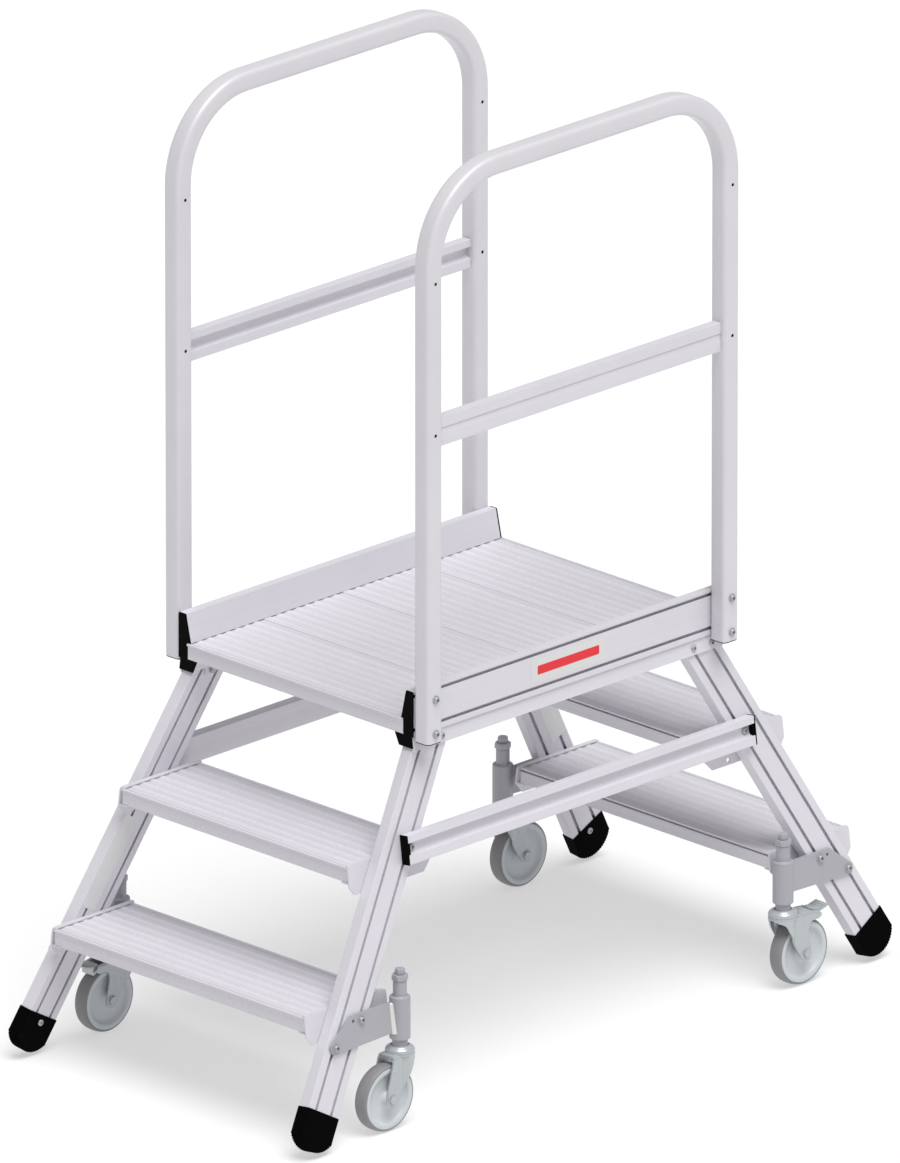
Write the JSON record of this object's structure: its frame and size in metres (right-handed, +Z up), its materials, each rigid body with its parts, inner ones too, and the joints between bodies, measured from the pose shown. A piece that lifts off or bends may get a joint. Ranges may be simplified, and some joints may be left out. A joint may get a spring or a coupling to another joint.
{
  "type": "mobile platform steps",
  "caption": "Double-sided mobile work platform with treads at both ends, hoop handrails, splayed legs with rubber feet and sprung castors.",
  "frame": {"origin": "on the floor under the middle of the deck, the centre of the bounding box's base", "axes": "+Z up, +Y along the climb, +X across the steps to the right for someone climbing the front treads towards +Y"},
  "size_m": [0.766, 1.5026, 1.759],
  "materials": {
    "aluminium": "mill finish, finely brushed, satin",
    "black_rubber": "matt moulded rubber",
    "silver_paint": "satin silver-grey coating on steel",
    "spring_steel": "oiled spring wire",
    "zinc_plate": "bright zinc plating",
    "wheel_hub": "moulded polyamide, satin",
    "wheel_tyre": "non-marking grey rubber, satin"
  },
  "bodies": {
    "frame": {"deck_plank_1": "aluminium", "deck_plank_2": "aluminium", "deck_plank_3": "aluminium", "deck_plank_4": "aluminium", "tread_front_upper": "aluminium", "tread_front_lower": "aluminium", "tread_rear_upper": "aluminium", "tread_rear_lower": "aluminium", "side_beam_left": "aluminium", "handrail_left": "aluminium", "knee_rail_left": "aluminium", "brace_left": "aluminium", "side_beam_right": "aluminium", "handrail_right": "aluminium", "knee_rail_right": "aluminium", "brace_right": "aluminium", "leg_front_left": "aluminium", "foot_front_left": "black_rubber", "step_clasp_front_left_upper": "aluminium", "step_clasp_front_left_lower": "aluminium", "castor_bracket_front_left": "silver_paint", "castor_spring_front_left": "spring_steel", "leg_front_right": "aluminium", "foot_front_right": "black_rubber", "step_clasp_front_right_upper": "aluminium", "step_clasp_front_right_lower": "aluminium", "castor_bracket_front_right": "silver_paint", "castor_spring_front_right": "spring_steel", "leg_rear_left": "aluminium", "foot_rear_left": "black_rubber", "step_clasp_rear_left_upper": "aluminium", "step_clasp_rear_left_lower": "aluminium", "castor_bracket_rear_left": "silver_paint", "castor_spring_rear_left": "spring_steel", "leg_rear_right": "aluminium", "foot_rear_right": "black_rubber", "step_clasp_rear_right_upper": "aluminium", "step_clasp_rear_right_lower": "aluminium", "castor_bracket_rear_right": "silver_paint", "castor_spring_rear_right": "spring_steel"},
    "stem_front_left": {"castor_stem_front_left": "silver_paint"},
    "fork_front_left": {"castor_fork_front_left": "zinc_plate"},
    "wheel_front_left": {"castor_hub_front_left": "wheel_hub", "castor_tyre_front_left": "wheel_tyre"},
    "pedal_front_left": {"brake_pedal_front_left": "zinc_plate"},
    "stem_front_right": {"castor_stem_front_right": "silver_paint"},
    "fork_front_right": {"castor_fork_front_right": "zinc_plate"},
    "wheel_front_right": {"castor_hub_front_right": "wheel_hub", "castor_tyre_front_right": "wheel_tyre"},
    "stem_rear_left": {"castor_stem_rear_left": "silver_paint"},
    "fork_rear_left": {"castor_fork_rear_left": "zinc_plate"},
    "wheel_rear_left": {"castor_hub_rear_left": "wheel_hub", "castor_tyre_rear_left": "wheel_tyre"},
    "stem_rear_right": {"castor_stem_rear_right": "silver_paint"},
    "fork_rear_right": {"castor_fork_rear_right": "zinc_plate"},
    "wheel_rear_right": {"castor_hub_rear_right": "wheel_hub", "castor_tyre_rear_right": "wheel_tyre"},
    "pedal_rear_right": {"brake_pedal_rear_right": "zinc_plate"}
  },
  "joints": [
    {"name": "castor_travel_front_left", "type": "slide", "parent": "frame", "child": "stem_front_left", "axis": [0, 0, 1], "range_m": [0, 0.012], "stiffness_N_per_m": 8000, "springref_m": -0.02, "deforming": ["castor_spring_front_left"]},
    {"name": "castor_swivel_front_left", "type": "hinge", "parent": "stem_front_left", "child": "fork_front_left", "pos_m": [-0.356, -0.4867, 0.15], "axis": [0, 0, 1], "continuous": true},
    {"name": "wheel_spin_front_left", "type": "hinge", "parent": "fork_front_left", "child": "wheel_front_left", "pos_m": [-0.356, -0.5267, 0.0625], "axis": [1, 0, 0], "continuous": true},
    {"name": "brake_front_left", "type": "hinge", "parent": "fork_front_left", "child": "pedal_front_left", "pos_m": [-0.356, -0.5572, 0.133], "axis": [1, 0, 0], "range_deg": [0, 14]},
    {"name": "castor_travel_front_right", "type": "slide", "parent": "frame", "child": "stem_front_right", "axis": [0, 0, 1], "range_m": [0, 0.012], "stiffness_N_per_m": 8000, "springref_m": -0.02, "deforming": ["castor_spring_front_right"]},
    {"name": "castor_swivel_front_right", "type": "hinge", "parent": "stem_front_right", "child": "fork_front_right", "pos_m": [0.356, -0.4867, 0.15], "axis": [0, 0, 1], "continuous": true},
    {"name": "wheel_spin_front_right", "type": "hinge", "parent": "fork_front_right", "child": "wheel_front_right", "pos_m": [0.356, -0.5267, 0.0625], "axis": [1, 0, 0], "continuous": true},
    {"name": "castor_travel_rear_left", "type": "slide", "parent": "frame", "child": "stem_rear_left", "axis": [0, 0, 1], "range_m": [0, 0.012], "stiffness_N_per_m": 8000, "springref_m": -0.02, "deforming": ["castor_spring_rear_left"]},
    {"name": "castor_swivel_rear_left", "type": "hinge", "parent": "stem_rear_left", "child": "fork_rear_left", "pos_m": [-0.356, 0.4867, 0.15], "axis": [0, 0, 1], "continuous": true},
    {"name": "wheel_spin_rear_left", "type": "hinge", "parent": "fork_rear_left", "child": "wheel_rear_left", "pos_m": [-0.356, 0.5267, 0.0625], "axis": [1, 0, 0], "continuous": true},
    {"name": "castor_travel_rear_right", "type": "slide", "parent": "frame", "child": "stem_rear_right", "axis": [0, 0, 1], "range_m": [0, 0.012], "stiffness_N_per_m": 8000, "springref_m": -0.02, "deforming": ["castor_spring_rear_right"]},
    {"name": "castor_swivel_rear_right", "type": "hinge", "parent": "stem_rear_right", "child": "fork_rear_right", "pos_m": [0.356, 0.4867, 0.15], "axis": [0, 0, 1], "continuous": true},
    {"name": "wheel_spin_rear_right", "type": "hinge", "parent": "fork_rear_right", "child": "wheel_rear_right", "pos_m": [0.356, 0.5267, 0.0625], "axis": [1, 0, 0], "continuous": true},
    {"name": "brake_rear_right", "type": "hinge", "parent": "fork_rear_right", "child": "pedal_rear_right", "pos_m": [0.356, 0.5572, 0.133], "axis": [-1, 0, 0], "range_deg": [0, 14]}
  ]
}
